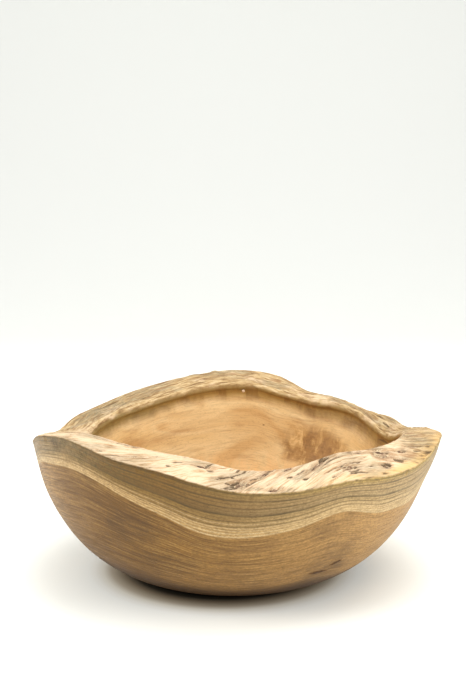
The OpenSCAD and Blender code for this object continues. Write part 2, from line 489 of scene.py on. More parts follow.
def sapwood(azimuth):
    """Depth of the striped outer wood on the outer wall, without corners."""
    spread = np.linspace(-8, 8, 9)
    places, depths = zip(*SAPWOOD)
    near = (np.asarray(azimuth)[..., None] + spread) % 360
    weight = np.exp(-(spread / 4) ** 2)
    return (np.interp(near, places, depths) * weight).sum(-1) / weight.sum()


def growth(depth, outer_wood, height):
    """Where a point is in the outer wood, 0 to 1 and a little past, and in the heartwood."""
    ring = np.clip(depth / outer_wood, 0, 1.3)
    heart = np.clip((depth - outer_wood) / np.maximum(height - outer_wood, 1), 0, 1)
    return ring, heart


def knot_form(name):
    """A dead knot's azimuth, height, half length and half height, from the CAD node."""
    low, high = (np.array(corner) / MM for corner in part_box(name))
    middle = (low + high) / 2
    half = (high - low) / 2
    return np.degrees(np.arctan2(middle[1], middle[0])), middle[2], np.hypot(*half[:2]), half[2]


KNOTS = {name: knot_form(name) for name in sorted(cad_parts) if name.startswith("knot_")}


def knot_shade(azimuth, radius, height):
    """How dark the wall is round the dead knots."""
    shade = 0
    for at, middle, length, tall in KNOTS.values():
        along = turn(azimuth, at) * np.pi / 180 * radius / (KNOT_HALO * length)
        up = (height - middle) / (2.2 * KNOT_HALO * tall)
        shade = np.maximum(shade, np.exp(-along ** 2 - up ** 2))
    return shade


def stained(azimuth, ring):
    """The grey-green stain of the outer wood, strongest at the left of the front."""
    left = 0.85 * np.exp(-(turn(azimuth, 228) / 20) ** 2) * ease(0.80, 0.35, ring)
    mottle = fractal(azimuth / 2.0, ring * 6, 71, 4)
    return left * ease(0.22, 0.60, mottle)


def wall_shade(azimuth, height):
    """How dark the broad smudges on the outer wall are."""
    shade = 0
    for at, middle, half, tall, strength in WALL_SMUDGES:
        off = (turn(azimuth, at) / half) ** 2 + ((height - middle) / tall) ** 2
        off = off + 0.9 * (fractal(azimuth / 3, height / 6, 35, 3) - 0.5)
        shade = np.maximum(shade, strength * ease(1.4, 0.2, off))
    return shade


def foot_and_wall(rows):
    """The foot with its shallow recess, then the outer wall up to just under the outer edge."""
    cos_a, sin_a = polar(LOW_AZIMUTHS)
    foot_r = on_profile(OUTER, FOOT_ANGLE)[0]
    for part, height in FOOT_STEPS:
        rows.add(foot_r * part * cos_a, foot_r * part * sin_a, height, ring=1.3, heart=1.0)
    edge_z = natural(LOW_AZIMUTHS, 1.0)
    top = angle_at(OUTER, edge_z - CORNER, FOOT_ANGLE)
    outer_wood = sapwood(LOW_AZIMUTHS)
    for k in range(WALL_ROWS):
        part = (k / (WALL_ROWS - 1)) ** 0.94
        angle = (FOOT_ANGLE + 1.0) * (1 - part) + top * part
        radius, height = on_profile(OUTER, angle)
        height = np.maximum(height, 0.5)
        radius = radius + flare(LOW_AZIMUTHS) * ease(66, 100, height)
        hand = fractal(LOW_AZIMUTHS / 12, height / 22 + 3, 31, 2) - 0.5
        radius = radius + 0.5 * hand * ease(2, 14, height)
        ring, heart = growth(edge_z - height, outer_wood, edge_z)
        knots = 0.55 * knot_shade(LOW_AZIMUTHS, radius, height)
        rows.add(radius * cos_a, radius * sin_a, height, ring=ring, heart=heart,
                 stain=stained(LOW_AZIMUTHS, ring),
                 dark=np.maximum(knots, wall_shade(LOW_AZIMUTHS, height)))


def outer_corner(rows):
    """The crumbly corner between the wall and the natural surface."""
    cos_a, sin_a = polar(ALL_AZIMUTHS)
    edge_r, edge_z = edge_ring(ALL_AZIMUTHS)
    chip = fractal(ALL_AZIMUTHS * 0.8, ALL_AZIMUTHS * 0, 61, 4) - 0.5
    for k in range(CORNER_ROWS):
        angle = np.pi / 2 * k / CORNER_ROWS
        radius = edge_r - CORNER * (1 - np.cos(angle)) - 0.9 * np.clip(chip, 0, 1)
        height = edge_z - CORNER * (1 - np.sin(angle)) + 0.8 * chip * np.sin(angle)
        rows.add(radius * cos_a, radius * sin_a, height, natural=0.3 * (k == CORNER_ROWS - 1),
                 dark=0.5 * ease(0.05, 0.25, chip), stain=stained(ALL_AZIMUTHS, 0.02))


def aged(x, y):
    """The browner parts of the natural surface, the back and the far right: partly tan wood, partly
    painted shade.
    """
    return np.maximum(ease(-25, 40, y), 0.9 * ease(104, 128, x))


def natural_surface(rows):
    """The weathered surface from the outer edge to the lip."""
    edge_r = edge_ring(ALL_AZIMUTHS)[0]
    width = edge_r - MOUTH_R
    for k in range(NATURAL_ROWS):
        part = k / (NATURAL_ROWS - 1)
        ring = (1 - CORNER / width) * (1 - part) + LIP_WIDE / width * part
        x, y = rim_xy(ALL_AZIMUTHS, ring)
        relief, dark, rust, grey = weather(x, y, ALL_AZIMUTHS, ring)
        hold = ease(0, 0.05, part) * ease(1, 0.93, part)
        amber = ease(0.72, 0.95, ring) * np.exp(-(turn(ALL_AZIMUTHS, 322) / 26) ** 2)
        height = natural(ALL_AZIMUTHS, ring) + relief * hold
        rows.add(x, y, height, natural=1.0, dark=dark, rust=rust, grey=grey, amber=amber,
                 back=ease(BACK_FROM, BACK_TO, y), aged=aged(x, y))


def lip_and_hollow(rows):
    """The rolled lip, the undercut below it and the turned hollow down to its middle."""
    for k in range(1, LIP_ROWS + 1):
        azimuths = ALL_AZIMUTHS if k < LIP_ROWS else LOW_AZIMUTHS
        cos_a, sin_a = polar(azimuths)
        width = edge_ring(azimuths)[0] - MOUTH_R
        top = natural(azimuths, LIP_WIDE / width)
        angle = np.pi / 2 * k / LIP_ROWS
        wander = fractal(azimuths / 7, azimuths * 0, 81, 3) - 0.5
        worn = np.sin(2 * angle) * (fractal(azimuths / 3.2, azimuths * 0 + k / 3.0, 83, 4) - 0.5)
        radius = MOUTH_R + LIP_WIDE * (1 - np.sin(angle)) + wander * np.sin(angle) + LIP_WORN * worn
        height = top - LIP_DEEP * (1 - np.cos(angle)) + LIP_WORN * worn
        x, y = SHIFT + radius * cos_a, radius * sin_a
        part = k / LIP_ROWS
        rows.add(x, y, height, natural=ease(0.9, 0.35, part), hollow=ease(0.3, 0.9, part),
                 ring=0.15 * part, back=ease(BACK_FROM, BACK_TO, y), aged=aged(x, y))
    start = angle_at(INNER, top - LIP_DEEP, -90)
    for k in range(1, HOLLOW_ROWS):
        part = (k / HOLLOW_ROWS) ** 1.25
        angle = start * (1 - part) - 90 * part
        radius, height = on_profile(INNER, angle)
        depth = top - height
        uneven = fractal(LOW_AZIMUTHS / 9, LOW_AZIMUTHS * 0, 87, 3)
        cut = ease(4.6, 6.8, depth) * ease(14 + 12 * uneven, 7, depth)
        radius = radius + (1.6 + 2.4 * uneven) * cut
        outer_wood = INNER_SAPWOOD + 5 * np.exp(-(turn(LOW_AZIMUTHS, 35) / 22) ** 2)
        ring, heart = growth(depth, outer_wood, top)
        rows.add(SHIFT + radius * cos_a, radius * sin_a, height, ring=ring, heart=heart, hollow=1.0,
                 figure=figured(LOW_AZIMUTHS, height))


def figured(azimuth, height):
    """1 in the dark figured patch of the hollow."""
    off = (turn(azimuth, PATCH_AZIMUTH) / PATCH_WIDE) ** 2 + ((height - PATCH_Z) / PATCH_TALL) ** 2
    return ease(1.5, 0.3, off + 0.9 * (fractal(azimuth / 5, height / 7, 41, 3) - 0.5))


def make_mesh(name, points, faces, fields=None, vectors=None):
    """A smooth-shaded object from points in mm, with its per-vertex fields."""
    mesh = bpy.data.meshes.new(name)
    mesh.from_pydata((np.asarray(points) * MM).tolist(), [], faces)
    mesh.polygons.foreach_set("use_smooth", [True] * len(mesh.polygons))
    for key, values in (fields or {}).items():
        layer = mesh.attributes.new(key, "FLOAT", "POINT")
        layer.data.foreach_set("value", np.asarray(values, float))
    for key, values in (vectors or {}).items():
        layer = mesh.attributes.new(key, "FLOAT_VECTOR", "POINT")
        layer.data.foreach_set("vector", np.asarray(values, float).ravel())
    mesh.update()
    piece = bpy.data.objects.new(name, mesh)
    bpy.context.scene.collection.objects.link(piece)
    return piece


def bowl_vectors(points):
    """Coordinates that the wood's fine grain is drawn in, in cm; spot is azimuth and height."""
    x, y, z = points.T
    azimuth, ring = locate(x, y)
    front = np.stack([*front_flow(x, y), np.zeros_like(x)], 1)
    back = np.stack([*back_flow(azimuth, np.clip(ring, -1, 2)), np.zeros_like(x)], 1)
    above = natural(azimuth, np.clip(ring, 0, 1))
    level = natural(ALL_AZIMUTHS, 0 * ALL_AZIMUTHS).mean()
    depth = level + (above - level) * ease(12, 85, np.hypot(x, y)) - z
    skin = np.stack([x, y, depth], 1)
    around = np.degrees(np.arctan2(y, x - SHIFT)) % 360
    spot = np.stack([around, z, np.zeros_like(x)], 1)
    return {"flow_front": front / 10, "flow_back": back / 10, "skin": skin / 10, "spot": spot}


def build_bowl():
    """The whole bowl as one closed mesh."""
    rows = Rows()
    foot_and_wall(rows)
    outer_corner(rows)
    natural_surface(rows)
    lip_and_hollow(rows)
    points = np.concatenate(rows.points)
    last = len(points)
    faces = rows.faces()
    faces += [((k + 1) % COARSE, k, last) for k in range(COARSE)]
    end = last - COARSE
    faces += [(end + k, end + (k + 1) % COARSE, last + 1) for k in range(COARSE)]
    floor = on_profile(INNER, -90.0)[1]
    points = np.concatenate([points, [[0, 0, FOOT_RECESS], [SHIFT, 0, floor]]])
    fields = {name: np.append(np.concatenate(values), [values[0][0], values[-1][0]])
              for name, values in rows.fields.items()}
    return make_mesh("bowl_wood_body", points, faces, fields, bowl_vectors(points))


# Small pieces ----------------------------------------------------------------

def surface(x, y):
    """Height of the natural surface, without its relief."""
    return natural(*locate(x, y))


def polar_grid(rings, spokes):
    """Parts of the radius and angles of a disc's grid, without its middle."""
    parts = (np.arange(rings) + 1) / rings
    angles = np.arange(spokes) * 2 * np.pi / spokes
    return np.meshgrid(parts, angles, indexing="ij")


def capped_faces(rings, spokes, middle_top, middle_low):
    """Faces of a closed lens: a top of rings and spokes, and a lower side of the same."""
    faces = []
    for side, middle in ((0, middle_top), (1, middle_low)):
        base = side * rings * spokes
        for k in range(spokes):
            after = (k + 1) % spokes
            tri = (base + k, base + after, middle)
            faces.append(tri if side == 0 else tri[::-1])
            for ring in range(rings - 1):
                a, b = base + ring * spokes + k, base + ring * spokes + after
                quad = (a, a + spokes, b + spokes, b)
                faces.append(quad if side == 0 else quad[::-1])
    top, low = (rings - 1) * spokes, (2 * rings - 1) * spokes
    for k in range(spokes):
        after = (k + 1) % spokes
        faces.append((top + k, low + k, low + after, top + after))
    return faces


def both_sides(*axes):
    """A coordinate for the top, the lower side and the two middles of a lens."""
    return np.concatenate([np.stack(axes, -1).reshape(-1, 3)] * 2 + [np.zeros((2, 3))])


def build_scrap(name, number):
    """A corky scrap of bark, drawn out along the fibres in ragged strands."""
    centre, length, width, bearing = SCRAPS[name]
    rings, spokes = SCRAP_GRID
    part, angle = polar_grid(rings, spokes)
    v = 0.9 * width * part * np.sin(angle)
    side = np.where(np.cos(angle) > 0, 3.0, 8.0)
    strand = noise(v / STRAND + 9 * number, side, 300 + number)
    u = length * part * np.cos(angle) * (0.45 + 0.75 * strand)
    cos_b, sin_b = polar(bearing)
    x = centre[0] + u * cos_b - v * sin_b
    y = centre[1] + u * sin_b + v * cos_b
    ridge = fractal(u / 5, v / 0.8, 320 + number, 3) - 0.5
    flake = fractal(u / 1.6, v / 1.6, 340 + number, 2) - 0.5
    azimuth, ring = locate(x, y)
    pocket = natural(azimuth, ring) + weather(x, y, azimuth, ring)[0]
    top = pocket - 0.1 + (0.75 + 0.9 * ridge + 0.4 * flake) * ease(1.0, 0.55, part)
    low = pocket - 0.3 - 1.2 * (1 - part ** 2)
    upper = np.stack([x, y, top], -1).reshape(-1, 3)
    lower = np.stack([x, y, low], -1).reshape(-1, 3)
    middles = [[*centre, upper[:spokes, 2].mean()], [*centre, lower[:spokes, 2].mean()]]
    points = np.concatenate([upper, lower, middles])
    tone = np.concatenate([(ridge + flake).ravel(), np.full(upper.shape[0], -0.3), [0, 0]])
    edge = np.concatenate([part.ravel(), part.ravel(), [0, 0]])
    faces = capped_faces(rings, spokes, len(points) - 2, len(points) - 1)
    flow = both_sides(u, v, np.zeros_like(u)) / 10 + number
    return make_mesh(name + "_scrap", points, faces, {"tone": tone, "edge": edge}, {"flow": flow})


def on_wall(middle, outward, u, v, lift):
    """Points from offsets along a wall, up it and out of it."""
    outward = Vector(outward).normalized()
    along = Vector((0, 0, 1)).cross(outward).normalized()
    up = outward.cross(along)
    frame_axes = np.array([along, up, outward])
    return np.asarray(middle) + np.stack([u, v, lift], -1).reshape(-1, 3) @ frame_axes


def build_plug(name, middle, outward, length, tall, tilt, deep, dome, torn, seed):
    """A lens-shaped plug set in a wall: a dead knot or a dab of filler."""
    rings, spokes = PLUG_GRID
    part, angle = polar_grid(rings, spokes)
    ragged = 1 + torn * (fractal(np.cos(angle) * 2 + seed, np.sin(angle) * 2, seed, 3) - 0.5)
    a, b = length * part * np.cos(angle) * ragged, tall * part * np.sin(angle) * ragged
    cos_t, sin_t = polar(tilt)
    u, v = a * cos_t - b * sin_t, a * sin_t + b * cos_t
    rough = dome * (fractal(u / 1.5, v / 0.7, seed + 9, 3) - 0.5)
    face = on_wall(middle, outward, u, v, dome * (1 - part ** 2) + rough)
    taper = 1 - 0.5 * part
    back = on_wall(middle, outward, u * taper, v * taper, -deep * (1 - 0.6 * part ** 2))
    ends = on_wall(middle, outward, np.zeros(2), np.zeros(2), np.array([dome, -deep]))
    points = np.concatenate([face, back, ends])
    edge = np.concatenate([part.ravel(), part.ravel(), [0, 0]])
    faces = capped_faces(rings, spokes, len(points) - 2, len(points) - 1)
    flow = both_sides(a, b, part) / 10
    return make_mesh(name + "_plug", points, faces, {"edge": edge}, {"flow": flow})


def build_knot(name, seed):
    """A dead knot, following the slope of the wall."""
    azimuth, height, length, tall = KNOTS[name]
    cos_a, sin_a = polar(azimuth)
    radius = wall_r(height)
    slope = (wall_r(height + 1) - wall_r(height - 1)) / 2
    middle = (radius * cos_a, radius * sin_a, height)
    return build_plug(name, middle, (cos_a, sin_a, -slope), 0.9 * length, 0.30 * tall,
                      KNOT_TILT[name], KNOT_DEEP, KNOT_DOME, KNOT_TORN, seed)


def build_filler():
    """The dab of filler in the old borer hole."""
    low, high = (np.array(corner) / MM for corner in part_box("hole_filler"))
    middle = (low + high) / 2
    radius = (high - low)[2] / 2
    x, y = middle[0] - SHIFT, middle[1]
    azimuth = np.degrees(np.arctan2(y, x))
    cos_a, sin_a = polar(azimuth)
    wall = on_profile(INNER, angle_at(INNER, middle[2], -90))[0]
    face = (SHIFT + wall * cos_a, wall * sin_a, middle[2])
    return build_plug("hole_filler", face, (-cos_a, -sin_a, 0), radius, radius,
                      0, FILLER_DEEP, FILLER_DOME, FILLER_TORN, FILLER_SEED)


# Materials -------------------------------------------------------------------

def colour(red, green, blue):
    """A display colour, 0 to 255, as the linear colour that a socket takes."""
    shares = [c / 255 for c in (red, green, blue)]
    linear = [c / 12.92 if c <= 0.04045 else ((c + 0.055) / 1.055) ** 2.4 for c in shares]
    return (*linear, 1.0)


class Graph:
    """A material's node tree, with one short call for each node."""

    def __init__(self, name, roughness, specular):
        self.material = bpy.data.materials.new(name)
        self.material.use_nodes = True
        self.tree = self.material.node_tree
        self.shader = self.tree.nodes["Principled BSDF"]
        self.shader.inputs["Roughness"].default_value = roughness
        self.shader.inputs["Specular IOR Level"].default_value = specular

    def add(self, kind, inputs, **settings):
        """A node whose inputs are values or other nodes' sockets."""
        made = self.tree.nodes.new("ShaderNode" + kind)
        for key, value in settings.items():
            setattr(made, key, value)
        for key, value in inputs.items():
            if isinstance(value, bpy.types.NodeSocket):
                self.tree.links.new(value, made.inputs[key])
            else:
                made.inputs[key].default_value = value
        return made

    def field(self, name):
        """A per-vertex number."""
        return self.add("Attribute", {}, attribute_name=name).outputs["Fac"]

    def place(self, name, stretch=(1, 1, 1), shift=(0, 0, 0)):
        """A per-vertex coordinate, stretched along its axes and then shifted."""
        where = self.add("Attribute", {}, attribute_name=name).outputs["Vector"]
        return self.map(where, stretch, shift)

    def map(self, where, stretch, shift):
        inputs = {"Vector": where, "Location": shift, "Scale": stretch}
        return self.add("Mapping", inputs).outputs["Vector"]

    def math(self, operation, a, b=0.0, clamp=False):
        return self.add("Math", {0: a, 1: b}, operation=operation, use_clamp=clamp).outputs[0]

    def times(self, a, b, clamp=False):
        return self.math("MULTIPLY", a, b, clamp)

    def wander(self, value, noise, reach):
        """A number, moved up and down by noise."""
        return self.math("ADD", value, self.times(self.math("SUBTRACT", noise, 0.5), reach))

    def length(self, vector):
        return self.add("VectorMath", {0: vector}, operation="LENGTH").outputs["Value"]

    def part(self, name, axis):
        """One axis of a per-vertex coordinate."""
        return self.add("SeparateXYZ", {0: self.place(name)}).outputs[axis]

    def noise(self, where, scale, detail=3.0, rough=0.55, distortion=0.0):
        inputs = {"Vector": where, "Scale": scale, "Detail": detail, "Roughness": rough}
        return self.add("TexNoise", {**inputs, "Distortion": distortion}).outputs["Fac"]

    def grain(self, name, stretch, *settings):
        """Noise over a stretched per-vertex coordinate."""
        return self.noise(self.place(name, stretch), 1.0, *settings)

    def skin(self, stretch, *settings):
        """Noise over the bowl's plan and its depth below the natural surface."""
        return self.grain("skin", stretch, *settings)

    def ease(self, value, low, high, start=0.0, end=1.0):
        """start below low, end above high, eased between."""
        inputs = {"Value": value, "From Min": low, "From Max": high, "To Min": start, "To Max": end}
        return self.add("MapRange", inputs, interpolation_type="SMOOTHSTEP").outputs["Result"]

    def mix(self, factor, a, b):
        return self.add("Mix", {0: factor, 6: a, 7: b}, data_type="RGBA").outputs[2]

    def tint(self, base, amount, *shade):
        """The base, mixed towards a display colour by an amount."""
        return self.mix(amount, base, colour(*shade))

    def ramp(self, value, stops):
        """A colour ramp: position and display colour of each stop."""
        made = self.add("ValToRGB", {0: value})
        points = made.color_ramp.elements
        while len(points) < len(stops):
            points.new(0.5)
        for point, (position, shade) in zip(points, stops):
            point.position = position
            point.color = colour(*shade)
        return made.outputs["Color"]

    def relief(self, height, strength, distance):
        made = self.add("Bump", {"Height": height, "Strength": strength, "Distance": distance})
        self.tree.links.new(made.outputs["Normal"], self.shader.inputs["Normal"])

    def finish(self, base, rough=None):
        self.tree.links.new(base, self.shader.inputs["Base Color"])
        if rough is not None:
            self.tree.links.new(rough, self.shader.inputs["Roughness"])
        return self.material


# The outer wood's tone from the rim down to the heartwood, in ring units.
OUTER_TONES = [
    (0, (90, 64, 25)), (0.1, (114, 82, 34)), (0.3, (112, 81, 36)), (0.46, (101, 74, 36)),
    (0.56, (125, 95, 47)), (0.75, (142, 111, 64)), (0.93, (170, 136, 85)), (1, (150, 114, 66)),
]
# Dark growth lines in it: ring units, half width, darkness.
OUTER_LINES = [
    (0.04, 0.026, 0.62), (0.12, 0.014, 0.45), (0.185, 0.032, 0.92), (0.262, 0.016, 0.55),
    (0.345, 0.026, 0.8), (0.42, 0.012, 0.4), (0.5, 0.042, 0.92), (0.575, 0.012, 0.42),
    (0.64, 0.022, 0.8), (0.755, 0.02, 0.72),
]
# Thin pale lines close to the heartwood: the same.
PALE_LINES = [
    (0.7, 0.016, 0.55), (0.795, 0.018, 0.6), (0.845, 0.014, 0.65), (0.9, 0.018, 0.8),
    (0.965, 0.022, 0.85),
]
# The heartwood's bands.
HEART_TONES = [
    (0.3, (103, 72, 35)), (0.44, (122, 87, 41)), (0.56, (135, 98, 47)), (0.7, (146, 109, 57)),
]
# The hollow's swirls.
HONEY_TONES = [
    (0.3, (185, 146, 95)), (0.44, (206, 172, 119)), (0.58, (215, 185, 136)), (0.7, (197, 159, 106)),
]
# The hollow's outer wood, from the lip down; its dark stop just under the lip is partly painted
# shade of the undercut.
UNDER_LIP_WOOD_AND_SHADE = [
    (0, (143, 116, 66)), (0.3, (128, 98, 50)), (0.5, (151, 119, 64)), (0.8, (162, 128, 71)),
    (0.93, (150, 105, 52)), (1, (183, 143, 85)),
]
# The dark figured patch in the hollow.
FIGURE_TONES = [
    (0.36, (124, 84, 40)), (0.5, (152, 111, 58)), (0.58, (180, 140, 84)), (0.68, (208, 170, 114)),
]
# The natural surface's fibres.
CREAM_TONES = [
    (0.3, (123, 91, 64)), (0.4, (183, 149, 111)), (0.5, (212, 186, 153)), (0.6, (215, 193, 163)),
    (0.7, (197, 161, 116)),
]
# The same where it is browner, at the back and the far right: partly tan wood, partly painted
# shade.
TAN_TONES = [
    (0.3, (84, 60, 38)), (0.41, (126, 97, 60)), (0.52, (172, 142, 95)), (0.61, (200, 177, 136)),
    (0.72, (134, 98, 62)),
]


def growth_lines(g, ring, lines):
    """How strong the growth lines are, each strongest at its lower edge."""
    made = g.add("ValToRGB", {0: ring})
    points = made.color_ramp.elements
    stops = []
    for at, half, strength in lines:
        stops += [(at - half, 0.0), (at + 0.4 * half, strength), (at + half, 0.0)]
    while len(points) < len(stops):
        points.new(0.5)
    for point, (position, level) in zip(points, stops):
        point.position = position
        point.color = (level, level, level, 1.0)
    return made.outputs["Color"]


def turned_wood(g):
    """The turned wall: striped outer wood over brown heartwood, with painted light making it paler
    to the right and at the far left edge, and painted shade left of the middle, near the foot and
    low on the wall.
    """
    across = g.part("skin", "X")
    # right: where painted light makes the wall paler, growing towards its right side.
    right = g.ease(across, -6, 12)
    # Painted shade: a darker band across the wall left of its middle.
    painted_shade_left = g.times(g.ease(across, -13, -9.5), g.ease(across, -2, -6.5))
    wander = g.skin((0.16, 0.16, 0.6), 4)
    ring = g.wander(g.field("ring"), wander, 0.1)
    outer = g.ramp(ring, OUTER_TONES)
    outer = g.tint(outer, g.times(right, 0.55), 200, 174, 128)
    # Painted sheen: the outer wood paler at the far left edge, where the wall turns away.
    left = g.ease(across, -7, -12.5)
    outer = g.tint(outer, g.times(left, 0.34), 196, 172, 132)
    fade = g.ease(g.skin((0.35, 0.35, 0.2), 3), 0.25, 0.7, 0.55, 1.1)
    strip_tone = g.times(g.ease(ring, 0.2, 0.04), right)
    outer = g.tint(outer, g.times(strip_tone, 0.65), 166, 138, 68)
    dark_lines = g.times(growth_lines(g, ring, OUTER_LINES), fade, True)
    outer = g.tint(outer, dark_lines, 62, 52, 32)
    pale_lines = g.times(growth_lines(g, ring, PALE_LINES), 0.85)
    outer = g.tint(outer, pale_lines, 204, 180, 138)
    heart = g.field("heart")
    level = g.add("CombineXYZ", {"X": 0.0, "Y": 0.0, "Z": heart}).outputs["Vector"]
    drawn_out = g.place("skin", (0.004, 0.004, 0))
    bent = g.add("VectorMath", {0: level, 1: drawn_out}, operation="ADD").outputs[0]
    bands = g.noise(bent, 9, 6, 0.65, 0.3)
    threads = g.noise(bent, 95, 2, 0.6, 0.1)
    inner = g.ramp(bands, HEART_TONES)
    # Painted sheen: the heartwood paler at the far left edge.
    inner = g.tint(inner, g.times(left, 0.3), 176, 142, 98)
    cloud = g.skin((0.3, 0.3, 0.42), 3, 0.5, 0.5)
    inner = g.tint(inner, g.ease(cloud, 0.5, 0.66, 0, 0.3), 82, 54, 26)
    # Painted light: the heartwood paler to the right.
    inner = g.tint(inner, g.times(right, 0.62), 188, 148, 94)
    plain = g.math("SUBTRACT", 1, g.times(right, 0.5))
    dark_thread = g.times(g.ease(threads, 0.5, 0.62, 0, 0.55), plain)
    pale_thread = g.times(g.ease(threads, 0.46, 0.34, 0, 0.48), plain)
    inner = g.tint(inner, dark_thread, 72, 46, 20)
    inner = g.tint(inner, pale_thread, 184, 146, 86)
    inner = g.tint(inner, g.times(painted_shade_left, 0.42), 80, 54, 26)
    plan = g.length(g.place("skin", (1, 1, 0)))
    beside = g.times(g.ease(plan, 6, 6.4, 0.3), g.ease(bands, 0.34, 0.6, 1, 0.9))
    # Painted shade: the heartwood darkened near the foot, close to the floor, weaker on the foot's
    # own bottom.
    low = g.times(g.ease(heart, 0.66, 0.84, 0, 0.96), beside)
    inner = g.tint(inner, low, 46, 24, 6)
    height = g.part("spot", "Y")
    # Painted shade: the wall darker low down near the floor, more so to the right.
    painted_low_shade = g.ease(height, 27, 4, 0, 0.95)
    painted_low_shade = g.times(g.times(painted_low_shade, g.ease(across, -1, 6, 0.45)), beside)
    inner = g.tint(inner, painted_low_shade, 60, 34, 10)
    wood = g.mix(g.ease(ring, 0.99, 1.02), outer, inner)
    mottle = g.ease(g.skin((3.2, 3.2, 5), 5, 0.75), 0.42, 0.58, 0.15, 1.1)
    stain = g.times(g.field("stain"), mottle, True)
    wood = g.tint(wood, g.times(stain, 0.85), 88, 78, 44)
    fleck = g.ease(g.skin((6.5, 6.5, 4), 3, 0.7), 0.52, 0.64)
    wood = g.tint(wood, g.times(fleck, g.field("stain")), 62, 54, 30)
    weave = g.ease(g.skin((5.5, 5.5, 5.5), 2, 0.6), 0.38, 0.62, 0.3, 0)
    return g.tint(wood, weave, 84, 62, 32)


def hollow_marks(g):
    """How dark the small marks in the hollow are."""
    total = 0.0
    for at, height, half, tall in HOLLOW_MARKS:
        where = g.place("spot", (1 / half, 1 / tall, 0), (-at / half, -height / tall, 0))
        away = g.length(where)
        total = g.math("MAXIMUM", g.ease(away, 1.1, 0.5, 0, 1), total)
    return total


def hollow_wood(g, wood):
    """The hollow's honey wood, with its swirls and the dark figured patch."""
    swirl = g.skin((0.11, 0.11, 0.22), 3, 0.5, 0.9)
    honey = g.ramp(swirl, HONEY_TONES)
    curl = g.skin((0.22, 0.22, 1.5), 5, 0.62, 0.9)
    honey = g.tint(honey, g.ease(curl, 0.48, 0.7, 0, 0.45), 156, 117, 72)
    drift = g.skin((0.35, 0.35, 0.1), 4, 0.6)
    drift = g.wander(g.field("ring"), drift, 0.9)
    band = g.ease(drift, 0.55, 1.15)
    # The outer wood under the lip, darkest just below it partly as painted shade where the lip
    # overhangs.
    under_lip = g.ramp(g.field("ring"), UNDER_LIP_WOOD_AND_SHADE)
    blotch = g.skin((0.5, 0.5, 1.1), 4, 0.6, 0.6)
    under_lip = g.tint(under_lip, g.ease(blotch, 0.48, 0.68, 0, 0.6), 116, 86, 44)
    fall = g.skin((1.1, 0.25, 0.35), 5, 0.65, 0.3)
    under_lip = g.tint(under_lip, g.ease(fall, 0.46, 0.62, 0, 0.5), 112, 74, 34)
    left = g.ease(g.part("skin", "X"), -2, -9)
    under_lip = g.tint(under_lip, g.times(left, 0.55), 124, 108, 62)
    honey = g.mix(band, under_lip, honey)
    low = g.ease(g.part("spot", "Y"), 66, 40)
    streak = g.ease(fall, 0.38, 0.6, 0.15, 0.75)
    honey = g.tint(honey, g.times(low, streak), 219, 170, 112)
    flame = g.skin((1.2, 1.2, 0.75), 4, 0.6, 1.1)
    figure = g.ramp(flame, FIGURE_TONES)
    honey = g.mix(g.times(g.field("figure"), 0.85), honey, figure)
    honey = g.tint(honey, g.times(hollow_marks(g), 0.8), 86, 60, 36)
    return g.mix(g.field("hollow"), wood, honey)


def weathered_wood(g):
    """The natural surface: cream, streaked along its fibres, pitted dark, with rust and grey."""
    back, browned_shaded_part = g.field("back"), g.field("aged")
    front_fibre = g.grain("flow_front", (0.6, 5, 1), 5, 0.72, 0.2)
    back_fibre = g.grain("flow_back", (0.6, 4, 1), 5, 0.72, 0.3)
    fibre = g.mix(back, front_fibre, back_fibre)
    cream = g.ramp(fibre, CREAM_TONES)
    tan = g.ramp(fibre, TAN_TONES)
    bare = g.skin((0.45, 0.45, 0.45), 3, 0.6)
    tan = g.mix(g.ease(bare, 0.52, 0.64, 0, 0.55), tan, cream)
    # Browner at the back and the far right: partly tan wood, partly painted shade.
    base = g.mix(g.times(browned_shaded_part, 0.9), cream, tan)
    base = g.tint(base, g.times(g.field("amber"), 0.7), 214, 174, 110)
    front_place, back_place = g.place("flow_front", (2.5, 12, 1)), g.place("flow_back", (2.5, 9, 1))
    crumb = g.noise(g.mix(back, front_place, back_place), 1, 4, 0.7)
    speck = g.ease(crumb, 0.34, 0.6, 0.35, 1)
    base = g.tint(base, g.times(g.field("grey"), speck), 130, 120, 94)
    base = g.tint(base, g.times(g.field("rust"), speck), 142, 102, 66)
    dark = g.times(g.field("dark"), g.ease(crumb, 0.3, 0.56, 0.55, 1))
    return g.mix(g.ease(dark, 0.18, 0.85, 0, 0.9), base, colour(72, 58, 40)), fibre


def bowl_material():
    """One piece of wood: turned wall, turned hollow and weathered rim."""
    g = Graph("root_wood", 0.55, 0.20)
    natural_part = g.field("natural")
    wood = hollow_wood(g, turned_wood(g))
    rim, fibre = weathered_wood(g)
    outside = g.math("SUBTRACT", 1, g.times(g.field("hollow"), 0.5))
    grain = g.skin((0.7, 0.7, 10), 3, 0.7)
    pore = g.ease(g.skin((5, 5, 13), 2, 0.7), 0.54, 0.68)
    lines = g.times(g.ease(grain, 0.46, 0.66, 0, 0.34), outside)
    wood = g.tint(wood, lines, 90, 64, 32)
    wood = g.tint(wood, g.times(pore, g.times(outside, 0.36)), 70, 48, 24)
    drawn = g.ease(g.skin((0.8, 0.8, 6), 4, 0.65), 0.34, 0.62, 0.35, 1.25)
    smudge = g.times(g.field("dark"), g.math("SUBTRACT", 1, natural_part))
    smudge = g.times(smudge, drawn, True)
    wood = g.tint(wood, smudge, 66, 48, 32)
    base = g.mix(natural_part, wood, rim)
    height = g.math("ADD", g.times(fibre, natural_part),
                    g.times(g.math("SUBTRACT", grain, pore), 0.12))
    g.relief(height, 0.6, 0.0008)
    rough = g.ease(grain, 0.2, 0.8, 0.42, 0.58)
    rough = g.math("ADD", g.times(natural_part, 0.3), rough)
    return g.finish(base, rough)


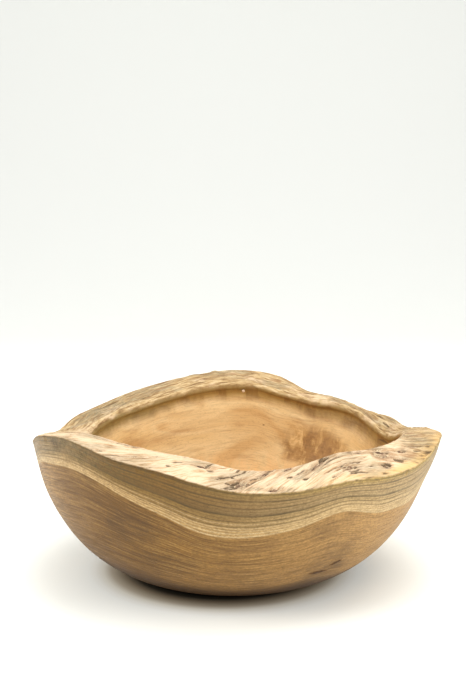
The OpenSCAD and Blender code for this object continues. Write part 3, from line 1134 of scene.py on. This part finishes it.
def bark_material():
    """Corky red-brown bark with grey, crumbling ridges."""
    g = Graph("ingrown_bark", 0.9, 0.15)
    ridge = g.grain("flow", (1.6, 8, 1), 5, 0.7, 0.4)
    crumb = g.grain("flow", (6, 14, 1), 4, 0.65)
    base = g.ramp(ridge, [(0.32, (66, 52, 44)), (0.43, (112, 84, 66)), (0.53, (150, 122, 96)),
                          (0.62, (202, 182, 148)), (0.72, (156, 130, 102))])
    base = g.tint(base, g.ease(crumb, 0.54, 0.66, 0, 0.75), 62, 52, 46)
    base = g.tint(base, g.ease(g.field("tone"), 0, -0.5, 0, 0.7), 56, 46, 42)
    torn = g.times(g.ease(g.field("edge"), 0.45, 1), g.ease(ridge, 0.36, 0.54))
    base = g.tint(base, torn, 205, 184, 150)
    g.relief(g.math("ADD", ridge, g.times(crumb, 0.5)), 0.8, 0.0006)
    return g.finish(base)


def filler_material():
    """A dab of pale filler with a thin dark line round it."""
    g = Graph("pale_filler", 0.6, 0.3)
    grain = g.grain("flow", (14, 14, 1), 3)
    base = g.ramp(grain, [(0.3, (172, 142, 110)), (0.7, (210, 182, 152))])
    base = g.tint(base, g.ease(g.field("edge"), 0.8, 0.97), 112, 82, 54)
    g.relief(grain, 0.4, 0.0002)
    return g.finish(base)


def knot_material():
    """Dark, dead knot wood, nearly black in its middle."""
    g = Graph("dead_knot_wood", 0.75, 0.2)
    rings = g.grain("flow", (3, 14, 4), 4, 0.6, 0.8)
    base = g.ramp(rings, [(0.32, (34, 24, 18)), (0.55, (78, 56, 38)), (0.75, (118, 86, 56))])
    base = g.tint(base, g.ease(g.field("edge"), 0.72, 1, 0, 0.8), 112, 80, 48)
    g.relief(rings, 0.6, 0.0004)
    return g.finish(base)


# The far paper colour is painted shade: the sweep greyer where it rises far behind the bowl.
PAPER, PAPER_LIGHT, PAPER_FAR_SHADE = (246, 248, 244), (248, 250, 246), (215, 216, 213)
SHADE_REACH = 0.100             # metres from the middle to where the paper is fully lit again
SHADE_SHIFT = (0.007, 0.002, 0.0)
# Painted contact shadow: the paper darkened close round the foot, by distance from it: part of
# SHADE_REACH, colour.
CONTACT_SHADOW_TONES = [
    (0.62, (22, 19, 15)), (0.68, (60, 54, 42)), (0.74, (142, 126, 104)), (0.82, (188, 176, 156)),
    (0.88, (232, 228, 216)), (0.94, (244, 244, 238)), (1, (247, 249, 245)),
]


def stage_material():
    """Plain matt white paper with painted shade: a little greyer where it rises behind the bowl,
    and a painted contact shadow darkening it close round the foot.
    """
    g = Graph("white_paper", 0.95, 0.1)
    where = g.add("TexCoord", {}).outputs["Object"]
    distance = g.add("SeparateXYZ", {0: where}).outputs["Y"]
    tooth = g.noise(where, 3, 2)
    near = g.ramp(tooth, [(0.3, PAPER), (0.7, PAPER_LIGHT)])
    # Painted shade: the paper turns greyer further back, where it rises behind the bowl.
    paper = g.mix(g.ease(distance, -0.1, 1.9), near, colour(*PAPER_FAR_SHADE))
    away = g.length(g.map(where, (1, 1, 0), SHADE_SHIFT))
    # Painted contact shadow: the paper darkened by its distance from the foot.
    painted_contact_shadow = g.ramp(g.times(away, 1 / SHADE_REACH), CONTACT_SHADOW_TONES)
    return g.finish(g.mix(g.ease(away, 0.96 * SHADE_REACH, SHADE_REACH), painted_contact_shadow, paper))


# The scene -------------------------------------------------------------------

SWEEP_FROM, SWEEP_R, SWEEP_TOP, SWEEP_SIDE, SWEEP_FRONT = 1.1, 0.9, 3.2, 4.0, -3.0   # metres
CAMERA_AT = (0, -0.8267, 0.2920)
CAMERA_PITCH = 80.94
CAMERA_LENS = 60
ROOM_STRENGTH = 0.98
LIGHT_TINT = (1.0, 0.99, 0.97)
# Lights: name, place, what it is aimed at, width, height, power.
LIGHTS = [
    ("overhead", (0.15, 0.1, 1.5), (0, 0, 0), 1.2, 1, 14),
    ("right_side", (1.2, -0.5, 0.5), (0, 0, 0.05), 0.8, 0.8, 10),
    ("left_side", (-1.2, -0.4, 0.7), (0, 0, 0.05), 0.8, 0.8, 11),
    ("low_front", (0.35, -1.5, 0.3), (0, 0, 0.03), 1.4, 0.4, 3),
]


def build_stage():
    """A white floor that sweeps up behind the bowl."""
    steps = np.linspace(0, np.pi / 2, 24)
    outline = [(SWEEP_FRONT, 0.0)]
    outline += [(SWEEP_FROM + SWEEP_R * np.sin(a), SWEEP_R * (1 - np.cos(a))) for a in steps]
    outline.append((SWEEP_FROM + SWEEP_R, SWEEP_TOP))
    corners = [(side * SWEEP_SIDE, y, z) for y, z in outline for side in (-1, 1)]
    faces = [(2 * k, 2 * k + 1, 2 * k + 3, 2 * k + 2) for k in range(len(outline) - 1)]
    stage = make_mesh("white_sweep", np.array(corners) / MM, faces)
    stage.data.materials.append(stage_material())


def add_light(name, place, aim, wide, tall, power):
    """A soft rectangular light."""
    data = bpy.data.lights.new(name, "AREA")
    data.shape = "RECTANGLE"
    data.size, data.size_y = wide, tall
    data.energy = power
    data.color = LIGHT_TINT
    light = bpy.data.objects.new(name, data)
    light.location = place
    light.rotation_euler = (Vector(aim) - Vector(place)).to_track_quat("-Z", "Y").to_euler()
    bpy.context.scene.collection.objects.link(light)


def build_lights():
    """An even white room, with a large soft light over the bowl and three round its front."""
    world = bpy.data.worlds.new("studio")
    world.use_nodes = True
    room = world.node_tree.nodes["Background"]
    room.inputs["Color"].default_value = (1.0, 1.0, 0.99, 1.0)
    room.inputs["Strength"].default_value = ROOM_STRENGTH
    bpy.context.scene.world = world
    for light in LIGHTS:
        add_light(*light)
    bpy.context.scene.view_settings.view_transform = "Standard"


def build_camera():
    """The photographer's view: a little above the rim, from the front."""
    data = bpy.data.cameras.new("camera")
    data.lens = CAMERA_LENS
    camera = bpy.data.objects.new("camera", data)
    camera.location = CAMERA_AT
    camera.rotation_euler = (np.radians(CAMERA_PITCH), 0, 0)
    bpy.context.scene.collection.objects.link(camera)
    bpy.context.scene.camera = camera


def dress(piece, material, node):
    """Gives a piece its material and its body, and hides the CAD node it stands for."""
    piece.data.materials.append(material)
    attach(piece, "root")
    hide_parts(node)


build_camera()
build_stage()
build_lights()
dress(build_bowl(), bowl_material(), "bowl_body")
BARK_SKIN = bark_material()
for number, name in enumerate(SCRAPS):
    dress(build_scrap(name, number), BARK_SKIN, name)
DEAD_WOOD = knot_material()
for number, name in enumerate(KNOTS):
    dress(build_knot(name, KNOT_SEED + number), DEAD_WOOD, name)
dress(build_filler(), filler_material(), "hole_filler")
